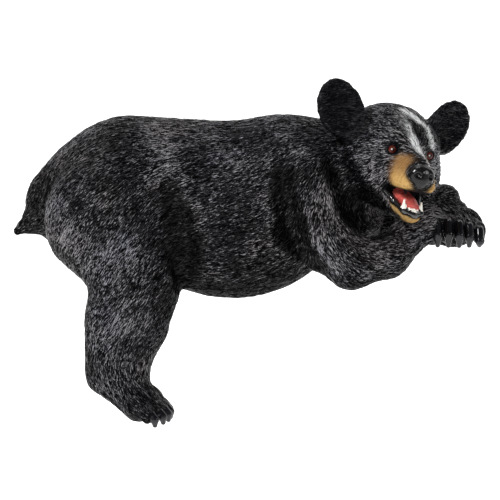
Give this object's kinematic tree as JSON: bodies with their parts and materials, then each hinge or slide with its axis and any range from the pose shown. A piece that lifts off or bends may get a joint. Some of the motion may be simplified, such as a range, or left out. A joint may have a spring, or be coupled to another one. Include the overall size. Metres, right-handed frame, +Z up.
{
  "type": "climbing bear statue",
  "caption": "Cast black bear cub lying along a ledge, head turned to the viewer, mouth open, forepaws crossed over the edge and one hind leg hanging down.",
  "frame": {"origin": "on the flat seat under the belly, level with the ledge's top, midway along the body and on its middle plane", "axes": "+X along the body towards the head, +Y away from the viewer onto the ledge, +Z up"},
  "size_m": [0.6677, 0.2747, 0.4788],
  "materials": {
    "painted_resin": "satin",
    "eye_acrylic": "gloss"
  },
  "bodies": {
    "root": {"bear_body": "painted_resin", "eye_right": "eye_acrylic", "eye_left": "eye_acrylic"}
  },
  "joints": []
}
